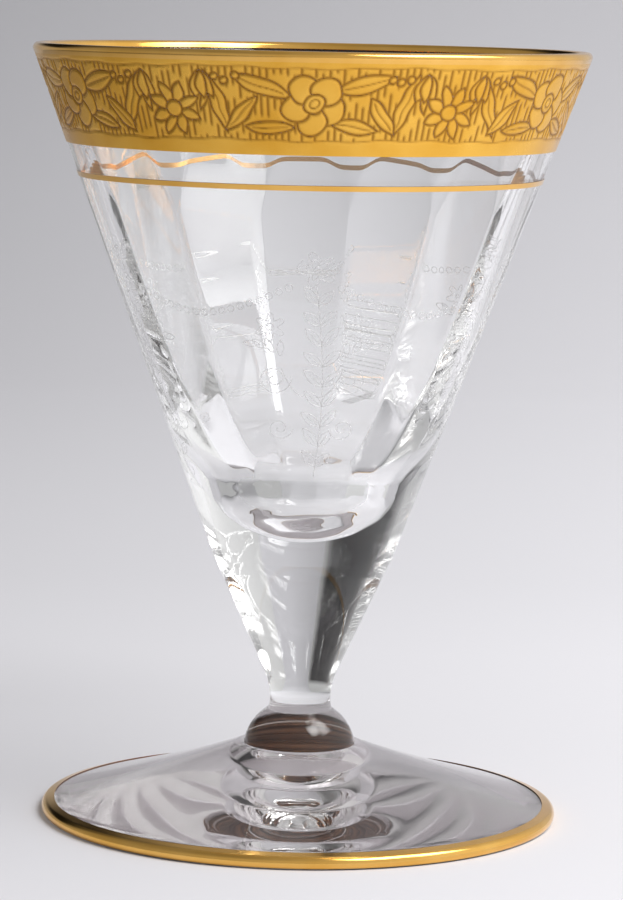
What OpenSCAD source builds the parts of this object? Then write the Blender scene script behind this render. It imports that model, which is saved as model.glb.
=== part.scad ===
// Small footed drinking glass: a panelled conical bowl on a tapered stem, a knop
// and a spread foot, with gilded rim, band, hairline and foot edge.
// Origin at the centre of the resting plane, +Z up through the axis, millimetres.

/* [Foot] */
// Radius of the foot's glass
foot_r = 34.2; // [28:0.1:40]
// Thickness of the foot at its rounded edge
foot_edge_h = 1.6; // [1.2:0.1:2.4]
// Height of the foot where the knop sits on it
foot_h = 9.5; // [7:0.1:12]
// Radius of the curve that dishes the foot's top
foot_curve = 230; // [120:5:500]
// Width of the foot's flat top that shows round the knop
foot_ledge = 0.9; // [0.2:0.1:2]
// Rise of the hollow underside, from the resting ring to the recess in its middle
foot_hollow_h = 4; // [2:0.1:4.6]
// Radius of the curve that dishes the hollow
foot_hollow_curve = 300; // [150:5:600]
// Radius of the round recess ground into the middle of the underside
recess_r = 8; // [6:0.1:10]
// Rise of that recess
recess_h = 2.2; // [0.5:0.1:2.6]
// Width of the flat ring that the foot rests on
foot_rest_w = 3; // [2:0.1:5]

/* [Knop] */
// Radius of the knop where it sits on the foot
knop_r = 7.4; // [6.6:0.1:9]
// Height of the knop
knop_h = 4.6; // [3.5:0.1:7]
// Radius of the curve of the knop's side
knop_curve = 6.4; // [5:0.1:12]
// Width of the knop's flat top that shows round the stem
seat_ledge = 0.1; // [0.05:0.05:0.5]

/* [Stem] */
// Height of the stem, from the knop to the bowl
stem_h = 20.9; // [16:0.1:30]
// Radius of the neck, the narrowest part
neck_r = 4.05; // [3:0.05:5]
// How far the neck spreads where it sits on the knop
neck_flare = 0.2; // [0.05:0.05:0.6]
// Height of that spread
neck_flare_h = 1; // [0.5:0.1:1.5]
// Length of the straight neck
neck_h = 0.4; // [0.1:0.1:3]
// Radius of the curve from the neck into the cone
neck_curve = 9; // [4:0.5:12]

/* [Bowl] */
// Height of the bowl's glass, from the stem to the rim
bowl_h = 66.85; // [50:0.05:85]
// Radius of the glass at the rim
rim_r = 36.4; // [33:0.1:42]
// Thickness of the glass at the rim, which is rounded
rim_t = 1.1; // [0.8:0.1:1.6]
// Slope of the bowl's outside, measured from upright
bowl_slope = 20.2; // [18:0.1:22]

/* [Cavity] */
// Number of flat panels inside the bowl
panel_count = 16; // [8:1:24]
// Turn of the panels' edges about the axis
panel_turn = 9.5; // [0:0.5:22.5]
// Glass between the stem and the cavity's floor
floor_t = 3.8; // [2:0.1:6]
// Radius of the round cup at the cavity's floor
cup_r = 8.4; // [7.5:0.1:9.5]
// Distance of the panels from the axis at the floor's level
panel_low_r = 6.6; // [5:0.1:7.4]
// Height above the floor where the cavity starts to flare
flare_h = 9.2; // [8:0.1:12]
// Distance of the panels from the axis at that height
flare_r = 8.6; // [7.5:0.1:10]
// Thickness that the wall alone would have at that height, measured level
wall_t = 1.4; // [1.2:0.1:3]
// Height over which the thick base fades into the wall
base_fade = 12; // [8:0.5:20]
// Distance below the rim where the panels start to fade
panel_fade_h = 20; // [10:0.5:30]
// How far the panels' edges are rounded off
panel_soften = 0.07; // [0.02:0.01:0.15]

/* [Gilding] */
// Thickness of the gold bead round the rim
lip_t = 0.15; // [0.1:0.05:0.3]
// How far the bead reaches down the wall below the rim's curve
lip_w = 0.45; // [0.2:0.05:1]
// Thickness of the gold band and hairline
band_t = 0.12; // [0.06:0.02:0.3]
// Width of the gold band along the wall
band_w = 12.2; // [6:0.1:16]
// Bare glass between the band and the hairline
hairline_gap = 4.05; // [1:0.05:8]
// Width of the hairline
hairline_w = 0.65; // [0.3:0.05:1.5]
// Thickness of the gold on the foot's edge
foot_gilt_t = 0.12; // [0.06:0.02:0.3]
// Width of the gold on top of the foot
foot_gilt_w = 1; // [0.4:0.1:2]
// Bare glass between the gold and the table
foot_gilt_gap = 0.25; // [0.2:0.05:0.6]

/* [Hidden] */
$fn = 180;
// Steps of the wide curves above and under the foot
wide_fn = 720;
// Steps of the cavity's curve from the flare up to the rim
wall_steps = 8;
// Length by which a cutting shape runs past the solid that it cuts
over = 1;

// Heights of the joints, from the table up
knop_z = foot_h;
stem_z = knop_z + knop_h;
bowl_z = stem_z + stem_h;
rim_z = bowl_z + bowl_h;

// Foot: the centre of its rounded edge, its seat for the knop and the dished top between them
foot_nose_r = foot_edge_h / 2;
foot_nose = [foot_r - foot_nose_r, foot_nose_r];
foot_seat = [knop_r + foot_ledge, foot_h];
foot_fall = foot_nose - foot_seat;
foot_run = norm(foot_fall);
foot_along = foot_fall / foot_run;
foot_upward = [-foot_along[1], foot_along[0]];
dish_along = (pow(foot_curve, 2) - pow(foot_curve + foot_nose_r, 2) + pow(foot_run, 2)) / (2 * foot_run);
dish_upward = sqrt(pow(foot_curve, 2) - pow(dish_along, 2));
dish_centre = foot_seat + dish_along * foot_along + dish_upward * foot_upward;
foot_normal = (dish_centre - foot_nose) / norm(dish_centre - foot_nose);
foot_inward = [-foot_normal[1], foot_normal[0]];
foot_tangent = foot_nose + foot_nose_r * foot_normal;

// Centre of the circle of a given radius through two points, to the left of the way from one to the other
function arc_centre(from, to, curve) =
    let (way = to - from, half = norm(way) / 2)
    (from + to) / 2 + sqrt(pow(curve, 2) - pow(half, 2)) * [-way[1], way[0]] / norm(way);

// Foot: the dished hollow underneath and the round recess in its middle
foot_hollow_r = foot_nose[0] - foot_rest_w;
hollow_edge = [foot_hollow_r, 0];
hollow_top = [recess_r, foot_hollow_h];
hollow_centre = arc_centre(hollow_top, hollow_edge, foot_hollow_curve);
recess_curve = (pow(recess_r, 2) + pow(recess_h, 2)) / (2 * recess_h);
recess_z = foot_hollow_h + recess_h - recess_curve;

// Knop: the curve of its side, from the foot up to the stem's seat
neck_seat_r = neck_r + neck_flare;
knop_centre = arc_centre([knop_r, knop_z], [neck_seat_r + seat_ledge, stem_z], knop_curve);

// Bowl: the rim's rounded edge and the two edges of the wall below it
rim_nose_r = rim_t / 2;
rim_nose = [rim_r - rim_nose_r, rim_z - rim_nose_r];
wall_out = [cos(bowl_slope), -sin(bowl_slope)];
wall_down = [-sin(bowl_slope), -cos(bowl_slope)];
wall_top = rim_nose + rim_nose_r * wall_out;
cavity_top = rim_nose - rim_nose_r * wall_out;
function outside_r(z) = wall_top[0] - (wall_top[1] - z) * tan(bowl_slope);
bowl_base_r = outside_r(bowl_z);

// Stem: the neck's curve and the point where the cone leaves it
neck_curve_centre = [neck_r + neck_curve, stem_z + neck_flare_h + neck_h];
stem_reach = [bowl_base_r, bowl_z] - neck_curve_centre;
stem_turn = atan2(stem_reach[1], stem_reach[0]) + acos(neck_curve / norm(stem_reach));
stem_tangent = neck_curve_centre + neck_curve * [cos(stem_turn), sin(stem_turn)];

// Cavity: the round cup, the flare above it and the wall, which thickens smoothly from the rim to the flare
floor_z = bowl_z + floor_t;
cup_z = floor_z + cup_r;
flare_z = floor_z + flare_h;
fade_z = rim_z - panel_fade_h;
wall_h = cavity_top[1] - flare_z;
wall_low_r = outside_r(flare_z) - wall_t;
wall_rise = (cavity_top[0] + 2 * panel_soften - wall_low_r) / wall_h;
low_rise = (flare_r - panel_low_r) / flare_h;
base_end = exp(-wall_h / base_fade);
base_t = (wall_low_r - flare_r) / (1 - base_end);
wall_heights = [for (k = [1 : wall_steps]) flare_z + wall_h * pow(k / wall_steps, 2)];

// Distance of the panels from the axis at a height, and of their rounded edges
function panel_r(z) =
    z < flare_z ? flare_r + (z - flare_z) * low_rise :
    wall_low_r + (z - flare_z) * wall_rise - base_t * (exp((flare_z - z) / base_fade) - base_end);
function edge_r(z) = panel_r(z) / cos(180 / panel_count) - panel_soften;

// A half section turned about the axis, with what lies past the axis or below the table cut off
module turned() {
    rotate_extrude() intersection() {
        children();
        square([max(rim_r, foot_r) + over, rim_z + over]);
    }
}

module foot_section() {
    difference() {
        union() {
            difference() {
                polygon([[0, 0], [foot_nose[0], 0], foot_nose, foot_tangent, foot_seat, [0, foot_h]]);
                translate(dish_centre) circle(foot_curve, $fn = wide_fn);
            }
            translate(foot_nose) circle(foot_nose_r);
        }
        difference() {
            polygon([[0, -over], [foot_hollow_r, -over], hollow_edge, hollow_top, [0, foot_hollow_h]]);
            translate(hollow_centre) circle(foot_hollow_curve, $fn = wide_fn);
        }
        translate([0, recess_z]) circle(recess_curve);
    }
}

module foot() {
    color("gainsboro") turned() foot_section();
}

module knop() {
    color("silver") turned() intersection() {
        translate([0, knop_z]) square([knop_r, knop_h]);
        union() {
            translate(knop_centre) circle(knop_curve);
            translate([0, knop_z]) square([neck_r, knop_h]);
        }
    }
}

module stem() {
    color("lightgrey") turned() {
        difference() {
            polygon([
                [0, stem_z], [neck_r, stem_z], [neck_r, neck_curve_centre[1]],
                stem_tangent, [bowl_base_r, bowl_z], [0, bowl_z]
            ]);
            translate(neck_curve_centre) circle(neck_curve);
        }
        polygon([[0, stem_z], [neck_seat_r, stem_z], [neck_r, stem_z + neck_flare_h], [0, stem_z + neck_flare_h]]);
    }
}

// The round cavity, which the panels then narrow
module cavity_section() {
    wall = [for (z = wall_heights) if (z < fade_z) [edge_r(z), z]];
    polygon(concat(
        [[0, cup_z], [cup_r, cup_z], [edge_r(flare_z), flare_z]], wall,
        [[edge_r(fade_z), fade_z], cavity_top, [cavity_top[0], rim_z + over], [0, rim_z + over]]
    ));
    translate([0, cup_z]) circle(cup_r);
}

module bowl_solid_section() {
    polygon([[0, bowl_z], [bowl_base_r, bowl_z], wall_top, cavity_top, [0, cavity_top[1]]]);
    translate(rim_nose) circle(rim_nose_r);
}

// Many-sided loft through the panels, one ring of corners at each height
module panels() {
    heights = concat([floor_z - over, flare_z], wall_heights, [rim_z + 2 * over]);
    last = len(heights) - 1;
    corners = [
        for (z = heights, i = [0 : panel_count - 1])
            let (turn = panel_turn + i * 360 / panel_count, r = panel_r(z) / cos(180 / panel_count))
            [r * cos(turn), r * sin(turn), z]
    ];
    sides = [
        for (k = [0 : last - 1], i = [0 : panel_count - 1])
            let (a = k * panel_count, b = a + panel_count, j = (i + 1) % panel_count)
            [a + i, b + i, b + j, a + j]
    ];
    bottom = [for (i = [0 : panel_count - 1]) i];
    top = [for (i = [panel_count - 1 : -1 : 0]) last * panel_count + i];
    polyhedron(corners, concat([bottom, top], sides));
}

module bowl() {
    color("white") difference() {
        turned() bowl_solid_section();
        intersection() {
            turned() cavity_section();
            panels();
        }
    }
}

// A strip on the bowl's outside between two distances below the rim's curve
module wall_strip(from, to, thick) {
    start = wall_top + from * wall_down;
    end = wall_top + to * wall_down;
    polygon([start, start + thick * wall_out, end + thick * wall_out, end]);
}

module gold_lip() {
    half = rim_nose_r + lip_t;
    outer = rim_nose + half * wall_out;
    inner = rim_nose - half * wall_out;
    color("goldenrod") turned() difference() {
        union() {
            translate(rim_nose) circle(half);
            polygon([outer, inner, inner + lip_w * wall_down, outer + lip_w * wall_down]);
        }
        difference() {
            bowl_solid_section();
            cavity_section();
        }
    }
}

module gold_band() {
    color("gold") turned() wall_strip(lip_w, lip_w + band_w, band_t);
}

module gold_hairline() {
    start = lip_w + band_w + hairline_gap;
    color("gold") turned() wall_strip(start, start + hairline_w, band_t);
}

module gold_foot_edge() {
    reach = foot_gilt_t * foot_normal;
    strip_turn = foot_gilt_w / foot_curve * 180 / PI;
    strip_end = foot_tangent + foot_curve * (sin(strip_turn) * foot_inward + (1 - cos(strip_turn)) * foot_normal);
    past_end = strip_end + over * (strip_end - foot_tangent) / foot_gilt_w;
    color("goldenrod") turned() difference() {
        union() {
            translate(foot_nose) circle(foot_nose_r + foot_gilt_t);
            polygon([foot_nose, foot_tangent + reach, strip_end + reach, strip_end]);
        }
        translate(foot_nose) circle(foot_nose_r);
        polygon([foot_nose, foot_tangent, past_end, [past_end[0], -over], [foot_nose[0], -over]]);
        square([foot_r + over, foot_gilt_gap]);
    }
}

foot();
knop();
stem();
bowl();
gold_lip();
gold_band();
gold_hairline();
gold_foot_edge();
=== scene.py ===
"""Looks of a small footed drinking glass: clear glass, gilding, etching, studio and camera."""
import math

import bpy
import numpy as np
from mathutils import Matrix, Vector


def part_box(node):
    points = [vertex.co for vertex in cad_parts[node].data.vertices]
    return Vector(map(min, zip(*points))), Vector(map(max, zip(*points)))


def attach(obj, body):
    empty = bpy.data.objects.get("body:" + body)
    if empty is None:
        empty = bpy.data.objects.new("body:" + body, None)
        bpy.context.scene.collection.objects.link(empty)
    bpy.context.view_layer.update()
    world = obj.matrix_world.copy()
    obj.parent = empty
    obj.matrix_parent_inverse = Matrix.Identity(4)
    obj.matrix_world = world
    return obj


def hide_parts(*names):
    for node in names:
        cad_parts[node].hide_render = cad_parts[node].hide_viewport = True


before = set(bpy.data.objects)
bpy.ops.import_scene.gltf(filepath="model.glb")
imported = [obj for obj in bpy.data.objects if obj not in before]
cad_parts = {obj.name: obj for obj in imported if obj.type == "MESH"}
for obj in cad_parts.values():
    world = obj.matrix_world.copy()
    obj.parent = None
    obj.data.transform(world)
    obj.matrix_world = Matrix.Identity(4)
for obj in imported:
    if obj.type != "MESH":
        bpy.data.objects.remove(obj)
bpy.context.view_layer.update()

MM = 0.001
# A quarter turn, in radians
upright = math.pi / 2


def span(node):
    """Largest radius, lowest and highest point of a CAD node, in millimetres."""
    low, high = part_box(node)
    return high.x / MM, low.z / MM, high.z / MM


# Sizes from the frame, in millimetres
foot_r, _, foot_h = span("foot")
knop_r, knop_z, stem_z = span("knop")
bowl_base_r, _, bowl_z = span("stem")
rim_r, _, rim_z = span("bowl")
_, band_low, _ = span("gold_band")
_, hairline_low, hairline_high = span("gold_hairline")

# Sizes that the boxes of the frame don't show, in millimetres and radians
foot_edge_h = 1.6
foot_hollow_h = 4.0
foot_hollow_curve = 300.0
foot_curve = 230.0
foot_ledge = 0.9
recess_r = 8.0
recess_h = 2.2
foot_rest_w = 3.0
knop_curve = 6.4
seat_ledge = 0.1
neck_r = 4.05
neck_flare = 0.2
neck_flare_h = 1.0
neck_h = 0.4
neck_curve = 9.0
rim_t = 1.1
bowl_slope = math.radians(20.2)
panel_count = 16
panel_turn = math.radians(9.5)
floor_t = 3.8
cup_r = 8.4
panel_low_r = 6.6
flare_h = 9.2
flare_r = 8.6
base_fade = 12.0
wall_t = 1.4
panel_fade_h = 20.0
panel_soften = 0.07
lip_t = 0.15
lip_w = 0.45
band_t = 0.12
foot_gilt_t = 0.12
foot_gilt_w = 1.0
foot_gilt_gap = 0.25
# How far the gilding's back lies inside the glass, so that no air shows between them
gilt_bite = 0.02

# The bowl's inside: how far the panels' bends and edges are eased, the rows of its mesh, the waves left
# in the hot cup, how far below the cup's middle its rows and its waves start, and the least wall
bend_ease = 1.5
bend_samples = 13
edge_ease = 0.03
inside_rows = 130
cup_wave = 0.05
cup_rows_drop = 2.0
cup_wave_drop = 2.5
least_wall = 0.2

# Turned meshes: columns round the axis, rows of the band's ornament, the radius that counts as none, and
# the angle of a sharp edge
round_columns = 192
bowl_columns = 384
band_columns = 1660
band_rows = 55
no_radius = 1e-6
sharp_angle = math.radians(40)

# The band's ornament: repeats, lines of the hatched ground, plain borders, grooves and domes
band_seed = 7
band_repeats = 6
band_sway = 0.12
band_tremor = 0.10
hatch_count = 258
hatch_long = 4.6
hatch_h = 0.11
hatch_w = 0.19
hatch_fill = 0.75
hatch_fade = 1.6
ornament_top = 0.75
border_w = 2.0
border_share = 0.6
groove_h = 0.13
groove_w = 0.18
vein_w = 0.12
vein_long = 0.7
vein_share = 0.7
dome_h = 0.09
dome_w = 0.5
# How far below the lip the ornament's rows start, and how far they run into the lower border
band_rows_start = 0.3
band_rows_run = 0.6

# A blossom between the leaves, with a ring engraved in its heart, and a daisy between two repeats:
# sizes, shares of the heart and of a petal's length, and how far the blossom strays and turns
blossom_petals = 5
blossom_petal_r = 1.9
blossom_reach = 2.2
heart_r = 1.3
heart_ring = 0.45
heart_share = 0.8
blossom_stray_across = 0.3
blossom_stray_down = 0.2
blossom_stray_turn = 0.6
daisy_down = 0.9
daisy_turn = 0.4
daisy_petals = 8
daisy_long = 3.3
daisy_half_wide = 0.75
daisy_reach = 0.62
daisy_heart = 0.34

# Leaves on each side of a blossom: way across and down from it, direction, lean, half the length and
# half the width, and how far they stray across and down
leaf_stray = 0.2
band_leaves = [
    (11.6, 0.0, upright, 0.35, 4.3, 1.0, 0.4, 0.3),
    (9.0, 1.6, 0.0, 0.75, 3.1, 0.95, 0.3, 0.3),
    (6.3, -2.4, 0.0, -0.35, 3.7, 1.15, 0.3, 0.3),
    (5.4, 3.0, 0.0, 0.15, 3.2, 0.9, 0.3, 0.2),
]

# A bud: its place, its stalk, and the way across and down, lean and half the width of its petals
bud_across = 13.9
bud_down = -2.2
bud_half_long = 1.9
bud_stalk_half_long = 1.7
bud_stalk_half_wide = 0.45
bud_lean = 0.3
bud_stray_across = 0.3
bud_stray_down = 0.4
bud_petals = [(-0.6, 0.0, bud_lean, 0.8), (0.6, 0.0, -bud_lean, 0.8), (0.0, 0.1, 0.0, 0.7)]

# A spray of berries: its place, the steps between them, their radius and how far they stray
berry_count = 3
berry_across = 9.4
berry_down = -3.3
berry_step = 1.2
berry_zigzag = 0.5
berry_r = 0.5
berry_stray = 0.15

# The bowl's etching: repeats, their turn and middle height, and the width and height of its lines
etching_seed = 11
etching_repeats = 5
etching_turn = math.radians(-88)
etching_z = 64.0
etching_w = 0.16
etching_h = 0.03
# Section of a line, in shares of its width and height
etching_section = [(-0.5, -0.4), (-0.3, 0.7), (0.3, 0.7), (0.5, -0.4)]

# A sprig, in millimetres across and up the wall from its middle: stalk, flowers and scrolls
stalk_low = -17
stalk_h = 27
stalk_sway = 1.3
stalk_leaves = 9
leaf_lean = 0.75
leaf_lean_stray = 0.15
leaf_long = 3.4
leaf_taper = 1.2
leaf_long_stray = 0.3
leaf_wide = 0.62
rib_start = 0.5
rib_share = 0.7
flower_rise = 2.2
flower_r = 1.9
flower_inner_r = 1.1
flower_heart_r = 0.45
flower_petals = 5
side_flower = (5.6, 4.2)
side_flower_r = 1.5
side_flower_heart_r = 0.5
side_flower_petals = 6
# How deep a flower's outline dips between its petals
petal_dip = 0.35
# The tendril from the stalk toward the upper scroll: start, reach across, fall and rise
tendril_start = (0.6, -5.5)
tendril_reach = 3.4
tendril_fall = 0.5
tendril_rise = 4.5
# The fan of leaves under a side flower: first place, steps, lean from one to the next and size
fan_leaves = 4
fan_start = (4.2, 0.2)
fan_step = (0.9, 0.5)
fan_lean = 0.5
fan_long = 2.2
fan_wide = 0.45
# The row of short slanting strokes across the top flower: first place, spacing and slant
dash_count = 5
dash_start = (-2.4, 12.6)
dash_spacing = 1.2
dash_slant = (0.7, 0.9)
# The share of a scroll's radius that is left at its inner end
scroll_end = 0.12
# Place, radius, start in radians and number of turns
scrolls = [(4.9, -3.0, 2.3, 3.0, 2.0), (4.0, -10.0, 1.7, 3.2, 1.8)]

# A swag of beads between two sprigs: its start beside a sprig, its height, its drop, its beads, and the
# height above the etching's middle where the gap between the sprigs is taken
swag_start = 2.2
swag_top = 10.3
swag_drop = 4.6
swag_beads = 11
bead_r = 0.46
swag_reach_z = 8


# Outlines, as lists of (radius, height)

def arc(centre, radius, start, end, steps):
    turns = np.linspace(start, end, steps)
    return [(centre[0] + radius * math.cos(t), centre[1] + radius * math.sin(t)) for t in turns]


def line(start, end, steps):
    first = np.array(start)
    way = np.array(end) - first
    return [tuple(first + way * k) for k in np.linspace(0, 1, steps)]


def arc_between(start, end, radius, steps):
    """Arc of a radius from one point to another, with its centre to the left of the way between."""
    start, end = np.array(start), np.array(end)
    way = end - start
    half = np.hypot(*way) / 2
    left = np.array([-way[1], way[0]])
    centre = (start + end) / 2 + math.sqrt(radius ** 2 - half ** 2) * left / (2 * half)
    first = math.atan2(*(start - centre)[::-1])
    sweep = 2 * math.asin(half / radius)
    return arc(centre, radius, first, first + sweep, steps)


# Foot: its rounded edge, its seat for the knop and the circle that dishes its top
foot_nose_r = foot_edge_h / 2
foot_nose = np.array([foot_r - foot_nose_r, foot_nose_r])
foot_seat = np.array([knop_r + foot_ledge, foot_h])
foot_run = np.hypot(*(foot_nose - foot_seat))
foot_along = (foot_nose - foot_seat) / foot_run
dish_along = (foot_curve ** 2 - (foot_curve + foot_nose_r) ** 2 + foot_run ** 2) / (2 * foot_run)
dish_rise = math.sqrt(foot_curve ** 2 - dish_along ** 2)
dish_centre = foot_seat + dish_along * foot_along + dish_rise * np.array([-foot_along[1], foot_along[0]])
foot_tilt = math.atan2(dish_centre[1] - foot_nose[1], dish_centre[0] - foot_nose[0])

# Bowl: the rim's rounded edge and the wall below it
wall_out = np.array([math.cos(bowl_slope), -math.sin(bowl_slope)])
wall_down = np.array([-math.sin(bowl_slope), -math.cos(bowl_slope)])
rim_nose_r = rim_t / 2
rim_nose = np.array([rim_r - rim_nose_r, rim_z - rim_nose_r])
wall_top = rim_nose + rim_nose_r * wall_out
cavity_top = rim_nose - rim_nose_r * wall_out
band_end = (wall_top[1] - band_low) / math.cos(bowl_slope)
band_w = band_end - lip_w


def outside_r(z):
    """Radius of the bowl's outside at a height."""
    return wall_top[0] - (wall_top[1] - z) * math.tan(bowl_slope)


# Cavity: the cup, the flare above it and the panels up to the rim
panel_half = math.pi / panel_count
floor_z = bowl_z + floor_t
cup_z = floor_z + cup_r
flare_z = floor_z + flare_h
fade_z = rim_z - panel_fade_h
wall_low_r = outside_r(flare_z) - wall_t
wall_rise = (cavity_top[0] + 2 * panel_soften - wall_low_r) / (cavity_top[1] - flare_z)
base_end = math.exp((flare_z - cavity_top[1]) / base_fade)
base_t = (wall_low_r - flare_r) / (1 - base_end)


def panel_r(z):
    """Distance of the panels from the axis at a height: the wall thickens smoothly toward the cup."""
    around = z + np.linspace(-bend_ease, bend_ease, bend_samples)
    low = flare_r + (around - flare_z) * (flare_r - panel_low_r) / flare_h
    up = np.maximum(around - flare_z, 0)
    high = wall_low_r + up * wall_rise - base_t * (np.exp(-up / base_fade) - base_end)
    return float(np.mean(np.where(around < flare_z, low, high)))


def edge_r(z):
    """Distance of the panels' rounded edges from the axis at a height."""
    full = panel_r(z) / math.cos(panel_half) - panel_soften
    if z < cup_z:
        full = min(full, math.sqrt(max(cup_r ** 2 - (cup_z - z) ** 2, 0)))
    if z <= fade_z:
        return full
    start = panel_r(fade_z) / math.cos(panel_half) - panel_soften
    return start + (cavity_top[0] - start) * (z - fade_z) / (cavity_top[1] - fade_z)


# Meshes

def mesh_object(name, points, faces, materials, choice=None):
    """A smooth mesh with its sharp edges kept, from points in millimetres."""
    mesh = bpy.data.meshes.new(name)
    mesh.from_pydata([tuple(p) for p in np.asarray(points) * MM], [], faces)
    for material in materials:
        mesh.materials.append(material)
    if choice is not None:
        mesh.polygons.foreach_set("material_index", choice)
    mesh.polygons.foreach_set("use_smooth", [True] * len(mesh.polygons))
    mesh.set_sharp_from_angle(angle=sharp_angle)
    mesh.update()
    piece = bpy.data.objects.new(name, mesh)
    bpy.context.scene.collection.objects.link(piece)
    return piece


def round_turns(columns):
    return np.linspace(0, 2 * math.pi, columns, endpoint=False)


def lathed(name, radii, heights, materials, fused=(), ring=False):
    """A mesh of rows round the axis, from arrays of radii and heights with one column per turn. fused
    names the steps between rows that take the second material, and a ring closes on itself."""
    columns = radii.shape[1]
    turns = round_turns(columns)
    points, rows = [], []
    for r, z in zip(radii, heights):
        if r.max() < no_radius:
            rows.append([len(points)] * columns)
            points.append((0, 0, z[0]))
            continue
        rows.append(list(range(len(points), len(points) + columns)))
        points.extend(np.stack([r * np.cos(turns), r * np.sin(turns), z], 1))
    faces, choice = [], []
    following = rows[1:] + rows[:1] if ring else rows[1:]
    for step, (a, b) in enumerate(zip(rows, following)):
        for i in range(columns):
            j = (i + 1) % columns
            corners = [a[i], a[j], b[j], b[i]]
            faces.append(list(dict.fromkeys(corners)))
            choice.append(1 if step in fused else 0)
    return mesh_object(name, points, faces, materials, choice)


def turned(name, outline, materials, columns=round_columns, fused=(), shape=None, ring=False):
    """Turns an outline about the axis, where shape(radius, height, turns) may change a row's radius."""
    turns = round_turns(columns)
    radii = []
    for r, z in outline:
        plain = shape is None or r < no_radius
        radii.append(np.full(columns, r) if plain else shape(r, z, turns))
    heights = [np.full(columns, z) for _, z in outline]
    return lathed(name, np.array(radii), np.array(heights), materials, fused, ring)


def place(piece, slot, *nodes):
    """A finished piece of the glass: it rides on the one body and stands for its CAD nodes."""
    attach(piece, "root")
    if nodes:
        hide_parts(*nodes)
    return piece


# Materials

# The middle range of a noise's values
noise_low = 0.3
noise_high = 0.7
# How unevenly the dull veil lies on the glass, and how much rougher the engraved gold is
veil_spread = 0.4
engraved_rough = 0.25


def new_material(name):
    material = bpy.data.materials.new(name)
    material.use_nodes = True
    tree = material.node_tree
    tree.nodes.clear()
    output = tree.nodes.new("ShaderNodeOutputMaterial")
    return material, tree, output


def add(tree, kind, **values):
    """A node with its inputs and settings given by name."""
    node = tree.nodes.new("ShaderNode" + kind)
    for key, value in values.items():
        if key in node.inputs:
            node.inputs[key].default_value = value
        else:
            setattr(node, key, value)
    return node


def link(tree, source, socket, target, name):
    tree.links.new(source.outputs[socket], target.inputs[name])


def noise(tree, coords, scale, detail=2.0, stretch=None):
    """Noise over the object in metres, stretched along its axes if asked."""
    node = add(tree, "TexNoise", Scale=scale, Detail=detail)
    if stretch is None:
        link(tree, coords, "Object", node, "Vector")
    else:
        mapping = add(tree, "Mapping")
        mapping.inputs["Scale"].default_value = stretch
        link(tree, coords, "Object", mapping, "Vector")
        link(tree, mapping, "Vector", node, "Vector")
    return node


def remap(tree, low, high, first=0.0, last=1.0):
    """Maps values between low and high to values between first and last."""
    node = add(tree, "MapRange")
    node.inputs["From Min"].default_value = low
    node.inputs["From Max"].default_value = high
    node.inputs["To Min"].default_value = first
    node.inputs["To Max"].default_value = last
    return node


def spread(tree, source, first, last):
    """Maps a noise's middle range to values between first and last."""
    node = remap(tree, noise_low, noise_high, first, last)
    link(tree, source, "Fac", node, "Value")
    return node


def blend(tree, source, socket, first, second):
    """Mixes two colours by a value. Each is a colour or another such mix."""
    node = add(tree, "Mix", data_type="RGBA")
    link(tree, source, socket, node, "Factor")
    for name, colour in (("A", first), ("B", second)):
        if isinstance(colour, tuple):
            node.inputs[name].default_value = (*colour, 1)
        else:
            tree.links.new(colour.outputs["Result"], node.inputs[name])
    return node


def product(tree, first, second):
    """Multiplies the colours of two sockets."""
    node = add(tree, "Mix", data_type="RGBA", blend_type="MULTIPLY")
    node.inputs["Factor"].default_value = 1.0
    tree.links.new(first, node.inputs["A"])
    tree.links.new(second, node.inputs["B"])
    return node


def layered(tree, source, socket, first, second):
    """Mix of two shaders by a node's output."""
    mix = add(tree, "MixShader")
    link(tree, source, socket, mix, "Fac")
    tree.links.new(first.outputs[0], mix.inputs[1])
    tree.links.new(second.outputs[0], mix.inputs[2])
    return mix


def ramp(node, stops):
    """Sets a colour ramp to grey levels at the given places."""
    elements = node.color_ramp.elements
    while len(elements) < len(stops):
        elements.new(0.5)
    for element, (position, _) in zip(elements, stops):
        element.position = position
    for element, (_, level) in zip(elements, stops):
        element.color = (level, level, level, 1)


def glass(name, tint, pale, shade, wear, veil):
    """Clear glass, a little uneven, worn and dulled. Lamps pass through it, dimmed at each surface."""
    material, tree, output = new_material(name)
    coords = add(tree, "TexCoord")
    ripple = noise(tree, coords, scale=90.0)
    haze = noise(tree, coords, scale=260.0, detail=3.0)
    tone = blend(tree, spread(tree, ripple, 0.0, 1.0), "Result", tint, pale)
    polish = spread(tree, haze, 0.0, wear)
    bump = add(tree, "Bump", Strength=0.03, Distance=0.0005)
    body = add(tree, "BsdfPrincipled", IOR=1.52)
    body.inputs["Transmission Weight"].default_value = 1.0
    dust = add(tree, "BsdfDiffuse", Color=(0.80, 0.76, 0.77, 1))
    path = add(tree, "LightPath")
    clear = add(tree, "BsdfTransparent", Color=(*shade, 1))
    link(tree, tone, "Result", body, "Base Color")
    link(tree, polish, "Result", body, "Roughness")
    link(tree, ripple, "Fac", bump, "Height")
    link(tree, bump, "Normal", body, "Normal")
    film = spread(tree, haze, (1 - veil_spread) * veil, (1 + veil_spread) * veil)
    dulled = layered(tree, film, "Result", body, dust)
    mix = layered(tree, path, "Is Shadow Ray", dulled, clear)
    link(tree, mix, "Shader", output, "Surface")
    return material


def fused_joint(name):
    """Where two gathers of glass melted together: nothing shows there."""
    material, tree, output = new_material(name)
    clear = add(tree, "BsdfTransparent")
    link(tree, clear, "BSDF", output, "Surface")
    return material


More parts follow.
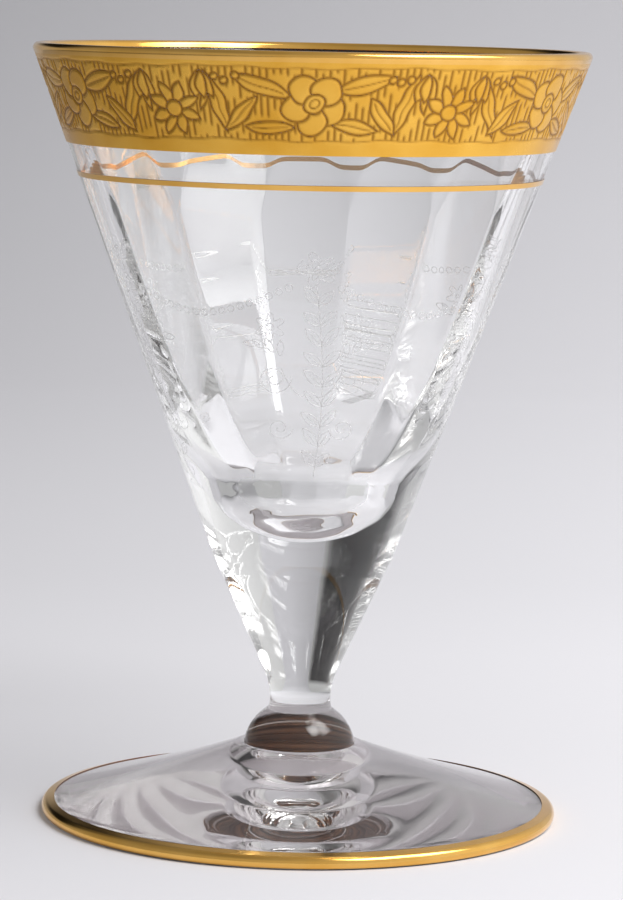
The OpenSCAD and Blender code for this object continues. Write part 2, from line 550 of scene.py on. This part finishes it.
def gold(name, deep, bright, smooth, rough, grain_h, engraved_shade=None):
    """Fired gold, a little cloudy and worn. What is engraved in it is rougher and painted darker, as
    painted shade in its grooves.
    """
    material, tree, output = new_material(name)
    coords = add(tree, "TexCoord")
    cloud = noise(tree, coords, scale=140.0, detail=4.0)
    grain = noise(tree, coords, scale=2600.0, detail=3.0, stretch=(1.0, 1.0, 2.5))
    tone = blend(tree, spread(tree, cloud, 0.0, 1.0), "Result", deep, bright)
    polish = spread(tree, cloud, smooth, rough)
    bump = add(tree, "Bump", Strength=0.25, Distance=grain_h)
    body = add(tree, "BsdfPrincipled", Metallic=1.0)
    if engraved_shade is not None:
        # Grooves are painted darker as shade, and made rougher
        depth = add(tree, "Attribute", attribute_name="groove")
        tone = blend(tree, depth, "Fac", tone, engraved_shade)
        dull = add(tree, "Math", operation="MULTIPLY_ADD")
        dull.inputs[1].default_value = engraved_rough
        link(tree, depth, "Fac", dull, 0)
        link(tree, polish, "Result", dull, 2)
        link(tree, dull, "Value", body, "Roughness")
    else:
        link(tree, polish, "Result", body, "Roughness")
    link(tree, tone, "Result", body, "Base Color")
    link(tree, grain, "Fac", bump, "Height")
    link(tree, bump, "Normal", body, "Normal")
    link(tree, body, "BSDF", output, "Surface")
    return material


def frost(name, low, high):
    """The etched line's pale shine, which lets most of what lies behind it through."""
    material, tree, output = new_material(name)
    coords = add(tree, "TexCoord")
    speckle = noise(tree, coords, scale=1800.0, detail=3.0)
    veil = spread(tree, speckle, low, high)
    tone = blend(tree, speckle, "Fac", (0.80, 0.79, 0.78), (0.97, 0.97, 0.96))
    bump = add(tree, "Bump", Strength=0.4, Distance=0.00002)
    body = add(tree, "BsdfPrincipled", Roughness=0.4)
    sheen = add(tree, "BsdfGlossy", Color=(0.97, 0.97, 0.96, 1), Roughness=0.3)
    clear = add(tree, "BsdfTransparent")
    link(tree, tone, "Result", body, "Base Color")
    link(tree, speckle, "Fac", bump, "Height")
    link(tree, bump, "Normal", body, "Normal")
    lit = layered(tree, spread(tree, speckle, 0.5, 0.8), "Result", body, sheen)
    mix = layered(tree, veil, "Result", clear, lit)
    link(tree, mix, "Shader", output, "Surface")
    return material


clear_glass = glass(
    "clear_glass", tint=(0.975, 0.98, 0.975), pale=(0.99, 0.99, 0.99), shade=(0.93, 0.93, 0.93),
    wear=0.012, veil=0.002)
# The foot's glass: its darker tint is painted shade for the shadowed paper seen through it; its
# roughness and veil are wear and dust
worn_shaded_glass = glass(
    "worn_shaded_glass", tint=(0.88, 0.835, 0.84), pale=(0.93, 0.90, 0.90), shade=(0.89, 0.865, 0.87),
    wear=0.015, veil=0.012)
clear_joint = fused_joint("clear_joint")
bright_gold = gold(
    "bright_gold", deep=(0.80, 0.44, 0.09), bright=(0.90, 0.54, 0.15),
    smooth=0.08, rough=0.17, grain_h=0.000004)
# The band's gold, with dark brown painted shade in its engraved grooves
etched_gold = gold(
    "etched_gold", deep=(0.76, 0.39, 0.045), bright=(0.90, 0.52, 0.09),
    smooth=0.20, rough=0.28, grain_h=0.00001, engraved_shade=(0.30, 0.13, 0.02))
# The gilding's back, seen through the glass, takes a darker gold as painted shade
shaded_gilt_back = gold(
    "shaded_gilt_back", deep=(0.42, 0.22, 0.07), bright=(0.56, 0.32, 0.11),
    smooth=0.10, rough=0.2, grain_h=0.000004)
# The foot edge's back is a near-black brown: painted shade for its dim inner reflection
shaded_foot_gilt_back = gold(
    "shaded_foot_gilt_back", deep=(0.13, 0.06, 0.035), bright=(0.21, 0.105, 0.06),
    smooth=0.45, rough=0.6, grain_h=0.00001)
etched_line = frost("etched_line", low=0.12, high=0.40)


# Pieces of glass

def make_foot():
    seat_turn = math.atan2(foot_seat[1] - dish_centre[1], foot_seat[0] - dish_centre[0])
    hollow_edge = (foot_nose[0] - foot_rest_w, 0)
    hollow_top = (recess_r, foot_hollow_h)
    recess_curve = (recess_r ** 2 + recess_h ** 2) / (2 * recess_h)
    recess_z = foot_hollow_h + recess_h - recess_curve
    recess_turn = math.asin(recess_r / recess_curve)
    under = arc((0, recess_z), recess_curve, upright, upright - recess_turn, steps=32)
    under += arc_between(hollow_top, hollow_edge, foot_hollow_curve, steps=48)[1:]
    edge = arc(foot_nose, foot_nose_r, -upright, foot_tilt, steps=24)
    top = arc(dish_centre, foot_curve, foot_tilt - math.pi, seat_turn, steps=60)
    outline = under + edge + top[1:] + [(knop_r, foot_h), (0, foot_h)]
    piece = turned("foot_glass", outline, [worn_shaded_glass, clear_joint], fused={len(outline) - 2})
    return place(piece, "clear_glass", "foot")


def make_knop():
    neck_seat_r = neck_r + neck_flare
    side = arc_between((knop_r, knop_z), (neck_seat_r + seat_ledge, stem_z), knop_curve, steps=40)
    outline = [(0, knop_z)] + side + [(neck_seat_r, stem_z), (0, stem_z)]
    piece = turned("knop_glass", outline, [clear_glass, clear_joint], fused={0, len(outline) - 2})
    return place(piece, "clear_glass", "knop")


def make_stem():
    centre = np.array([neck_r + neck_curve, stem_z + neck_flare_h + neck_h])
    reach = np.array([bowl_base_r, bowl_z]) - centre
    turn = math.atan2(reach[1], reach[0]) + math.acos(neck_curve / np.hypot(*reach))
    flare = line((neck_r + neck_flare, stem_z), (neck_r, stem_z + neck_flare_h), steps=6)
    curve = arc(centre, neck_curve, math.pi, turn, steps=24)
    cone = line(curve[-1], (bowl_base_r, bowl_z), steps=30)
    outline = [(0, stem_z)] + flare + curve + cone[1:] + [(0, bowl_z)]
    piece = turned("stem_glass", outline, [clear_glass, clear_joint], fused={0, len(outline) - 2})
    return place(piece, "clear_glass", "stem")


def panelled(r, z, turns):
    """Radii of a row of the bowl: flat panels and a wavy cup inside, round outside."""
    if z >= cavity_top[1] or r >= outside_r(z) - least_wall:
        return np.full(len(turns), r)
    if z < cup_z - cup_wave_drop:
        share = math.sin(math.pi * r / cup_r)
        r = r + cup_wave * share * (np.sin(5 * turns + 2.1 * z) + np.sin(3 * turns - 3.3 * z + 1))
    off = (turns - panel_turn) % (2 * panel_half) - panel_half
    flat = panel_r(z) / np.cos(off)
    return -edge_ease * np.logaddexp(-r / edge_ease, -flat / edge_ease)


def make_bowl():
    outside = line((bowl_base_r, bowl_z), wall_top, steps=60)
    nose = arc(rim_nose, rim_nose_r, -bowl_slope, math.pi - bowl_slope, steps=16)
    heights = np.linspace(cavity_top[1], cup_z - cup_rows_drop, inside_rows)
    inside = [(edge_r(z), z) for z in heights[1:]]
    cup = arc((0, cup_z), cup_r, -math.asin(cup_rows_drop / cup_r), -upright, steps=30)
    inside += cup[1:-1] + [(0, floor_z)]
    outline = [(0, bowl_z)] + outside + nose[1:-1] + inside
    piece = turned(
        "bowl_glass", outline, [clear_glass, clear_joint], bowl_columns, fused={0}, shape=panelled)
    return place(piece, "clear_glass", "bowl")


# Gilding

def wall_point(down, out):
    """A point so far below the rim's curve along the wall and so far out from it."""
    return tuple(wall_top + down * wall_down + out * wall_out)


def make_lip():
    outer = arc(rim_nose, rim_nose_r + lip_t, -bowl_slope, math.pi - bowl_slope, steps=32)
    inner = arc(rim_nose, rim_nose_r - gilt_bite, math.pi - bowl_slope, -bowl_slope, steps=16)
    low_out = tuple(np.array(outer[0]) + lip_w * wall_down)
    low_in = tuple(np.array(outer[-1]) + lip_w * wall_down)
    back_in = tuple(np.array(inner[0]) + lip_w * wall_down)
    back_out = tuple(np.array(inner[-1]) + lip_w * wall_down)
    outline = [low_out] + outer + [low_in, back_in] + inner + [back_out]
    backs = set(range(len(outer) + 2, len(outline)))
    piece = turned("lip_gilding", outline, [bright_gold, shaded_gilt_back], fused=backs, ring=True)
    return place(piece, "bright_gold", "gold_lip")


def turned_coords(u, v, x, y, turn):
    """Distances along and across an axis that is turned by so much at a point."""
    c, s = np.cos(turn), np.sin(turn)
    return (u - x) * c + (v - y) * s, (v - y) * c - (u - x) * s


def disc(u, v, x, y, r):
    """Distance from a disc's outline, below nought inside it."""
    return np.hypot(u - x, v - y) - r


def leaf(u, v, x, y, turn, half_long, half_wide):
    """Distance from a pointed leaf's outline, below nought inside it."""
    along, across = turned_coords(u, v, x, y, turn)
    bend = (half_long ** 2 + half_wide ** 2) / (2 * half_wide)
    return np.hypot(along, np.abs(across) + bend - half_wide) - bend


def emboss(relief, distance):
    """Lays a motif over the relief: smooth and slightly domed, with a groove along its outline."""
    level = band_t + dome_h * (1 - np.exp(np.minimum(distance, 0) / dome_w))
    inside = np.where(distance < 0, level, relief)
    return np.minimum(inside, band_t - groove_h * np.exp(-(distance / groove_w) ** 2))


def engrave(relief, distance, share):
    """Cuts a fine line, with a share of the full depth."""
    return np.minimum(relief, band_t - groove_h * share * np.exp(-(distance / vein_w) ** 2))


def veined_leaf(relief, u, v, x, y, turn, half_long, half_wide):
    relief = emboss(relief, leaf(u, v, x, y, turn, half_long, half_wide))
    along, across = turned_coords(u, v, x, y, turn)
    past_vein = np.maximum(np.abs(along) - vein_long * half_long, 0)
    return engrave(relief, np.hypot(across, past_vein), vein_share)


def blossom(relief, u, v, x, y, turn):
    """Round petals about a heart with a ring in it."""
    for k in range(blossom_petals):
        a = turn + 2 * math.pi * k / blossom_petals
        petal_x = x + blossom_reach * np.cos(a)
        petal_y = y + blossom_reach * np.sin(a)
        relief = emboss(relief, disc(u, v, petal_x, petal_y, blossom_petal_r))
    relief = emboss(relief, disc(u, v, x, y, heart_r))
    return engrave(relief, disc(u, v, x, y, heart_ring * heart_r), heart_share)


def daisy(relief, u, v, x, y, turn):
    """Pointed petals about a round heart."""
    reach = daisy_reach * daisy_long
    for k in range(daisy_petals):
        a = turn + 2 * math.pi * k / daisy_petals
        petal_x = x + reach * np.cos(a)
        petal_y = y + reach * np.sin(a)
        relief = emboss(relief, leaf(u, v, petal_x, petal_y, a, daisy_long / 2, daisy_half_wide))
    return emboss(relief, disc(u, v, x, y, daisy_heart * daisy_long))


def band_relief(turns, downs):
    """Height of the gilding's face over the glass: flowers and leaves on a hatched ground."""
    rng = np.random.default_rng(band_seed)
    turn, down = np.meshgrid(turns, downs)
    middle_r = (wall_top + band_w / 2 * wall_down)[0]
    cell_w = 2 * math.pi * middle_r / band_repeats
    around = turn * middle_r
    around = around + band_tremor * np.sin(2.1 * down) + band_sway * np.sin(0.7 * down + 3 * turn)
    v = down - lip_w + band_sway * np.sin(9 * turn) + band_tremor * np.sin(31 * turn + down)
    cell = np.floor(around / cell_w).astype(int) % band_repeats
    u = around % cell_w - cell_w / 2

    def jitter(amount):
        return rng.uniform(-amount, amount, band_repeats)[cell]

    hatch_at = turn * hatch_count / (2 * math.pi)
    hatch = np.round(hatch_at).astype(int) % hatch_count
    start = rng.uniform(0, 2 * math.pi, hatch_count)[hatch]
    cut = np.clip(hatch_fade * (np.sin(2 * math.pi * v / hatch_long + start) + hatch_fill), 0, 1)
    across = (hatch_at - np.round(hatch_at)) * 2 * math.pi * middle_r / hatch_count
    relief = band_t - hatch_h * cut * np.exp(-(across / hatch_w) ** 2)
    top, low = ornament_top, band_w - border_w
    middle = (top + low) / 2
    for side in (-1, 1):
        for x, y, way, lean, half_long, half_wide, stray_x, stray_y in band_leaves:
            relief = veined_leaf(
                relief, u, v, side * x + jitter(stray_x), middle + y + jitter(stray_y),
                way + side * (lean + jitter(leaf_stray)), half_long, half_wide)
        bud_x = side * bud_across + jitter(bud_stray_across)
        bud_y = middle + bud_down + jitter(bud_stray_down)
        stalk_turn = upright - side * bud_lean
        relief = emboss(relief, leaf(
            u, v, bud_x, bud_y + bud_half_long, stalk_turn, bud_stalk_half_long, bud_stalk_half_wide))
        for x, y, lean, half_wide in bud_petals:
            relief = emboss(relief, leaf(
                u, v, bud_x + x, bud_y + y, upright + lean, bud_half_long, half_wide))
        for k in range(berry_count):
            berry_x = side * (berry_across + berry_step * k) + jitter(berry_stray)
            berry_y = middle + berry_down + berry_zigzag * (k % 2) + jitter(berry_stray)
            relief = emboss(relief, disc(u, v, berry_x, berry_y, berry_r))
        relief = daisy(relief, u, v, side * cell_w / 2, middle + daisy_down, daisy_turn)
    relief = blossom(
        relief, u, v, jitter(blossom_stray_across), middle + jitter(blossom_stray_down),
        jitter(blossom_stray_turn))
    for edge in (top, low):
        plain = (v < edge) if edge == top else (v > edge)
        relief = engrave(np.where(plain, band_t, relief), v - edge, border_share)
    return relief


def make_band():
    ornament = np.linspace(lip_w + band_rows_start, band_end - border_w + band_rows_run, band_rows)
    downs = np.concatenate([[lip_w], ornament, [band_end]])
    out = band_relief(round_turns(band_columns), downs)
    out = np.vstack([out, np.full((2, band_columns), -gilt_bite)])
    downs = np.concatenate([downs, [band_end, lip_w]])[:, None]
    radii = wall_top[0] + downs * wall_down[0] + out * wall_out[0]
    heights = wall_top[1] + downs * wall_down[1] + out * wall_out[1]
    rows = len(radii)
    backs = {rows - 3, rows - 2, rows - 1}
    piece = lathed("band_gilding", radii, heights, [etched_gold, shaded_gilt_back], backs, ring=True)
    # Depth of each groove, which the gold uses for its painted shade and its roughness
    groove = piece.data.attributes.new("groove", "FLOAT", "POINT")
    depth = np.clip((band_t - out) / groove_h, 0, 1)
    groove.data.foreach_set("value", depth.astype(np.float32).ravel())
    return place(piece, "etched_gold", "gold_band")


def make_hairline():
    start = (wall_top[1] - hairline_high) / math.cos(bowl_slope)
    end = (wall_top[1] - hairline_low) / math.cos(bowl_slope)
    front = [wall_point(d, band_t) for d in np.linspace(start, end, 4)]
    back = [wall_point(d, -gilt_bite) for d in (end, start)]
    backs = set(range(len(front) - 1, len(front) + len(back)))
    piece = turned("hairline_gilding", front + back, [bright_gold, shaded_gilt_back], fused=backs, ring=True)
    return place(piece, "bright_gold", "gold_hairline")


def make_foot_edge():
    low = -math.asin((foot_nose[1] - foot_gilt_gap) / foot_nose_r)
    inward = np.array([-math.sin(foot_tilt), math.cos(foot_tilt)])
    front = arc(foot_nose, foot_nose_r + foot_gilt_t, low, foot_tilt, steps=24)
    front += line(front[-1], np.array(front[-1]) + foot_gilt_w * inward, steps=5)[1:]
    back = arc(foot_nose, foot_nose_r - gilt_bite, foot_tilt, low, steps=16)
    back = [tuple(np.array(back[0]) + foot_gilt_w * inward)] + back
    backs = set(range(len(front) - 1, len(front) + len(back)))
    piece = turned(
        "foot_edge_gilding", front + back, [bright_gold, shaded_foot_gilt_back], fused=backs, ring=True)
    return place(piece, "bright_gold", "gold_foot_edge")


# Etching on the bowl: sprigs with scrolls and beaded swags between them, as thin raised lines

def ring_stroke(x, y, r, steps=14):
    return arc((x, y), r, 0, 2 * math.pi, steps)


def leaf_stroke(x, y, turn, length, width, steps=10):
    """Outline of a pointed leaf that starts at a point and grows in a direction."""
    ways = np.linspace(0, math.pi, steps)
    half = [(length * (1 - math.cos(t)) / 2, width * math.sin(t) ** 2) for t in ways]
    loop = half + [(a, -b) for a, b in half[::-1]]
    c, s = math.cos(turn), math.sin(turn)
    return [(x + a * c - b * s, y + a * s + b * c) for a, b in loop]


def flower_stroke(x, y, r, petals, petal_steps=9):
    """Outline of a flower with round petals."""
    turns = np.linspace(0, 2 * math.pi, petals * petal_steps + 1)
    reach = r * (1 - petal_dip * np.cos(petals * turns))
    return list(zip(x + reach * np.cos(turns), y + reach * np.sin(turns)))


def scroll_stroke(x, y, r, start, turns, hand, turn_steps=16):
    """A line that winds inward about a point."""
    shares = np.linspace(1, scroll_end, int(turn_steps * turns))
    ways = start + (1 - shares) * turns * 2 * math.pi
    return list(zip(x + hand * r * shares * np.cos(ways), y + r * shares * np.sin(ways)))


def sprig(rng):
    """Strokes of one sprig, in millimetres across and up the wall."""

    def stalk(k):
        return stalk_sway * math.sin(2.6 * k + 0.4), stalk_low + stalk_h * k

    strokes = [[stalk(k) for k in np.linspace(0, 1, 40)]]
    for k in np.linspace(0.06, 0.9, stalk_leaves):
        x, y = stalk(k)
        for hand in (-1, 1):
            lean = upright - hand * (leaf_lean + rng.uniform(-leaf_lean_stray, leaf_lean_stray))
            stray = rng.uniform(-leaf_long_stray, leaf_long_stray)
            length = leaf_long - leaf_taper * abs(k - 0.5) + stray
            way = np.array([math.cos(lean), math.sin(lean)])
            strokes.append(leaf_stroke(x, y, lean, length, leaf_wide))
            strokes.append([(x, y) + a * way for a in np.linspace(rib_start, rib_share * length, 4)])
    x, y = stalk(1)
    strokes.append(flower_stroke(x, y + flower_rise, flower_r, flower_petals))
    strokes.append(flower_stroke(x, y + flower_rise, flower_inner_r, flower_petals))
    strokes.append(ring_stroke(x, y + flower_rise, flower_heart_r))
    for hand in (-1, 1):
        for x, y, r, start, turns in scrolls:
            strokes.append(scroll_stroke(hand * x, y, r, start, turns, hand))
        x, y = tendril_start
        strokes.append([
            (hand * (x + tendril_reach * k), y + tendril_rise * k ** 2 - tendril_fall * k)
            for k in np.linspace(0, 1, 10)])
        x, y = side_flower
        strokes.append(flower_stroke(hand * x, y, side_flower_r, side_flower_petals))
        strokes.append(ring_stroke(hand * x, y, side_flower_heart_r))
        for k in range(fan_leaves):
            x = hand * (fan_start[0] + fan_step[0] * k)
            y = fan_start[1] + fan_step[1] * k
            strokes.append(leaf_stroke(x, y, upright - hand * fan_lean * k, fan_long, fan_wide))
    for k in range(dash_count):
        x, y = dash_start[0] + dash_spacing * k, dash_start[1]
        strokes.append([(x + dash_slant[0] * j, y + dash_slant[1] * j) for j in (0.0, 0.5, 1.0)])
    return strokes


def swag(half_gap):
    """Half of a beaded garland on each side of a sprig, up to the middle between two sprigs."""
    strokes = []
    for hand in (-1, 1):
        for k in np.linspace(0.08, 0.98, swag_beads):
            bead_x = hand * (swag_start + (half_gap - swag_start) * k)
            bead_y = swag_top - swag_drop * math.sin(k * upright)
            strokes.append(ring_stroke(bead_x, bead_y, bead_r, steps=10))
    return strokes


def etching_strokes():
    """All strokes as (turn about the axis, distance down the wall)."""
    rng = np.random.default_rng(etching_seed)
    middle = (rim_z - etching_z) / math.cos(bowl_slope)
    half_gap = math.pi / etching_repeats * outside_r(etching_z + swag_reach_z)
    laid = []
    for k in range(etching_repeats):
        at = etching_turn + 2 * math.pi * k / etching_repeats
        for stroke in sprig(rng) + swag(half_gap):
            across, up = np.array(stroke).T
            down = middle - up
            radius = wall_top[0] + down * wall_down[0]
            laid.append((at + across / radius, down))
    return laid


def make_etching():
    points, faces = [], []
    for turns, downs in etching_strokes():
        c, s = np.cos(turns), np.sin(turns)
        radius = wall_top[0] + downs * wall_down[0]
        spine = np.stack([radius * c, radius * s, wall_top[1] + downs * wall_down[1]], 1)
        out = np.stack([wall_out[0] * c, wall_out[0] * s, np.full(len(turns), wall_out[1])], 1)
        way = np.gradient(spine, axis=0)
        side = np.cross(way, out)
        side /= np.linalg.norm(side, axis=1)[:, None]
        first = len(points)
        for a, b in etching_section:
            points.extend(spine + a * etching_w * side + b * etching_h * out)
        n, m = len(spine), len(etching_section)
        for j in range(m):
            p, q = first + j * n, first + (j + 1) % m * n
            faces.extend([p + i, p + i + 1, q + i + 1, q + i] for i in range(n - 1))
        faces.append([first + j * n for j in range(m)])
        faces.append([first + j * n + n - 1 for j in range(m)][::-1])
    return place(mesh_object("bowl_etching", points, faces, [etched_line]), "clear_glass")


make_foot()
make_knop()
make_stem()
make_bowl()
make_lip()
make_band()
make_hairline()
make_foot_edge()
make_etching()


# Studio: a sweep of paper, two soft lamps, the room around and the camera, in metres

# The paper's tone along its depth and across it, by metres from the glass: painted shade, darker up the
# back and to the left
paper_depth_range = (-0.1, 0.9)
painted_depth_shade = [
    (-0.1, 0.905), (0.05, 0.87), (0.12, 0.885), (0.2, 0.865), (0.5, 0.92), (0.68, 0.76), (0.77, 0.655),
]
paper_side_range = (-0.6, 0.2)
painted_side_shade = [(-0.6, 0.22), (-0.3, 0.42), (-0.14, 0.70), (-0.1, 0.78), (0.0, 0.895), (0.1, 1.0)]

# The paper's front edge, flat part, bend and top, its half width, the sides of its raised part, and
# the hair by which it lies below the foot
paper_front = -1.5
paper_flat = 0.5
paper_bend = 0.4
paper_top = 0.9
paper_wide = 1.2
paper_left = -0.135
paper_right = 0.3
paper_drop = 0.00002

# The room's brightness by the way round from straight behind the glass to the right
room_levels = [
    (-180, 0.58), (-130, 0.45), (-100, 0.36), (-80, 0.34), (-62, 0.30), (-52, 0.12), (-44, 0.012),
    (-12, 0.008), (-9, 0.34), (10, 0.52), (25, 0.64), (40, 0.72), (55, 0.85), (70, 0.98), (100, 1.0),
    (130, 0.86), (180, 0.58),
]
# The ceiling's brightness from left to right, and the heights where it fades in
ceiling_levels = [(0.0, 0.26), (0.35, 0.28), (0.65, 0.60), (1.0, 0.68)]
ceiling_start = math.radians(28)
ceiling_full = math.radians(60)
# The skirting's least brightness, and the heights where it fades out
skirting_level = 0.4
skirting_full = math.radians(8)
skirting_end = math.radians(16)

# The lamps: the height that they face, the middle of their faces, the distances from it where they start
# and cease to fade, and their levels there
lamp_aim_z = 0.05
lamp_middle = (0.5, 0.5, 0.0)
lamp_core = 0.2
lamp_edge = 0.62
lamp_core_level = 1.3
lamp_edge_level = 0.25

# The photograph's camera, fitted to the rim, the foot and the axis
camera_distance = 0.4934
camera_height = 0.110
camera_pitch = math.radians(7.068)
camera_roll = math.radians(1.155)
camera_pan = math.radians(0.1)
camera_lens = 150
camera_sensor = 36

# Surfaces that a ray may pass, for the many layers of glass
most_bounces = 32


def paper(name):
    """Pale paper with a fine grain, with painted shade darker up the back and to the left."""
    material, tree, output = new_material(name)
    coords = add(tree, "TexCoord")
    split = add(tree, "SeparateXYZ")
    link(tree, coords, "Object", split, "Vector")

    def toned(axis, reach, stops):
        low, high = reach
        share = remap(tree, low, high)
        tone = add(tree, "ValToRGB")
        ramp(tone, [((at - low) / (high - low), level) for at, level in stops])
        link(tree, split, axis, share, "Value")
        link(tree, share, "Result", tone, "Fac")
        return tone.outputs["Color"]

    # Painted shade: darker up the back and to the left
    depth = toned("Y", paper_depth_range, painted_depth_shade)
    side = toned("X", paper_side_range, painted_side_shade)
    shade = product(tree, depth, side)
    grain = noise(tree, coords, scale=700.0, detail=4.0)
    speck = blend(tree, grain, "Fac", (0.955, 0.945, 0.99), (0.97, 0.96, 1.0))
    body_tone = product(tree, shade.outputs["Result"], speck.outputs["Result"])
    bump = add(tree, "Bump", Strength=0.1, Distance=0.00005)
    body = add(tree, "BsdfPrincipled")
    link(tree, grain, "Fac", bump, "Height")
    link(tree, spread(tree, grain, 0.85, 0.95), "Result", body, "Roughness")
    link(tree, body_tone, "Result", body, "Base Color")
    link(tree, bump, "Normal", body, "Normal")
    link(tree, body, "BSDF", output, "Surface")
    return material


def make_sweep():
    """Paper that lies under the glass and curves up behind it, where it is narrower."""
    bends = np.linspace(0, upright, 24)[1:]
    rows = [(paper_front, 0), (paper_flat, 0)]
    rows += [(paper_flat + paper_bend * math.sin(t), paper_bend * (1 - math.cos(t))) for t in bends]
    rows.append((paper_flat + paper_bend, paper_top))
    sides = (-paper_wide, paper_left, paper_right, paper_wide)
    points = [(x, y, z - paper_drop) for y, z in rows for x in sides]
    faces = []
    for k in range(1, len(rows)):
        a, b = len(sides) * (k - 1), len(sides) * k
        strips = (0, 1, 2) if k == 1 else (1,)
        faces.extend((a + j, a + j + 1, b + j + 1, b + j) for j in strips)
    mesh = bpy.data.meshes.new("sweep")
    mesh.from_pydata(points, [], faces)
    mesh.polygons.foreach_set("use_smooth", [True] * len(mesh.polygons))
    sweep = bpy.data.objects.new("sweep", mesh)
    bpy.context.scene.collection.objects.link(sweep)
    mesh.materials.append(paper("paper"))


def make_lamp(name, azimuth, elevation, distance, width, height, power):
    """A soft lamp that faces the glass. Azimuth counts from the camera's side to the right."""
    lamp = bpy.data.lights.new(name, "AREA")
    lamp.shape = "RECTANGLE"
    lamp.size = width
    lamp.size_y = height
    lamp.energy = power
    lamp.use_nodes = True
    tree = lamp.node_tree
    spot = add(tree, "NewGeometry")
    off_middle = add(tree, "VectorMath", operation="DISTANCE")
    off_middle.inputs[1].default_value = lamp_middle
    soft = remap(tree, lamp_core, lamp_edge, lamp_core_level, lamp_edge_level)
    link(tree, spot, "Parametric", off_middle, 0)
    link(tree, off_middle, "Value", soft, "Value")
    link(tree, soft, "Result", tree.nodes["Emission"], "Strength")
    holder = bpy.data.objects.new(name, lamp)
    around = Matrix.Rotation(math.radians(azimuth), 4, "Z")
    up = Matrix.Rotation(math.pi / 2 - math.radians(elevation), 4, "X")
    aim = Matrix.Translation((0, 0, lamp_aim_z))
    holder.matrix_world = aim @ around @ up @ Matrix.Translation((0, 0, distance))
    bpy.context.scene.collection.objects.link(holder)


def make_world():
    """A pale room, brightest on the right and dim on the left, with a dark gap behind on the left
    above a paler skirting, and a dimmer ceiling."""
    world = bpy.data.worlds.new("studio")
    bpy.context.scene.world = world
    world.use_nodes = True
    tree = world.node_tree
    coords = add(tree, "TexCoord")
    split = add(tree, "SeparateXYZ")
    turn = add(tree, "Math", operation="ARCTAN2")
    share = remap(tree, -math.pi, math.pi)
    across = remap(tree, -1.0, 1.0)
    high = remap(tree, math.sin(ceiling_start), math.sin(ceiling_full))
    low = remap(tree, math.sin(skirting_full), math.sin(skirting_end), first=1.0, last=0.0)
    walls = add(tree, "ValToRGB")
    ceiling = add(tree, "ValToRGB")
    skirting = add(tree, "Mix", data_type="RGBA", blend_type="LIGHTEN")
    skirting.inputs["B"].default_value = (skirting_level, skirting_level, skirting_level, 1)
    room = add(tree, "Mix", data_type="RGBA")
    ramp(walls, [((a + 180) / 360, level) for a, level in room_levels])
    ramp(ceiling, ceiling_levels)
    link(tree, coords, "Generated", split, "Vector")
    link(tree, split, "X", turn, 0)
    link(tree, split, "Y", turn, 1)
    link(tree, turn, "Value", share, "Value")
    link(tree, share, "Result", walls, "Fac")
    link(tree, split, "X", across, "Value")
    link(tree, across, "Result", ceiling, "Fac")
    link(tree, split, "Z", high, "Value")
    link(tree, high, "Result", room, "Factor")
    link(tree, split, "Z", low, "Value")
    link(tree, low, "Result", skirting, "Factor")
    link(tree, walls, "Color", skirting, "A")
    link(tree, skirting, "Result", room, "A")
    link(tree, ceiling, "Color", room, "B")
    link(tree, room, "Result", tree.nodes["Background"], "Color")


def make_camera():
    data = bpy.data.cameras.new("camera")
    data.lens = camera_lens
    data.sensor_width = camera_sensor
    camera = bpy.data.objects.new("camera", data)
    stand = Matrix.Translation((0, -camera_distance, camera_height))
    pan = Matrix.Rotation(-camera_pan, 4, "Z")
    pitch = Matrix.Rotation(math.pi / 2 - camera_pitch, 4, "X")
    camera.matrix_world = stand @ pan @ pitch @ Matrix.Rotation(camera_roll, 4, "Z")
    bpy.context.scene.collection.objects.link(camera)
    bpy.context.scene.camera = camera


make_sweep()
make_lamp("key", azimuth=76, elevation=51, distance=0.9, width=0.46, height=0.56, power=4.9)
make_lamp("front", azimuth=44, elevation=52, distance=0.9, width=0.32, height=0.44, power=3.3)
make_world()
make_camera()
bpy.context.scene.view_settings.view_transform = "Standard"
light_paths = bpy.context.scene.cycles
light_paths.max_bounces = most_bounces
light_paths.glossy_bounces = most_bounces
light_paths.transmission_bounces = most_bounces
light_paths.transparent_max_bounces = most_bounces
# Lamps already pass through the glass to the paper, so their light isn't counted again
light_paths.caustics_refractive = False
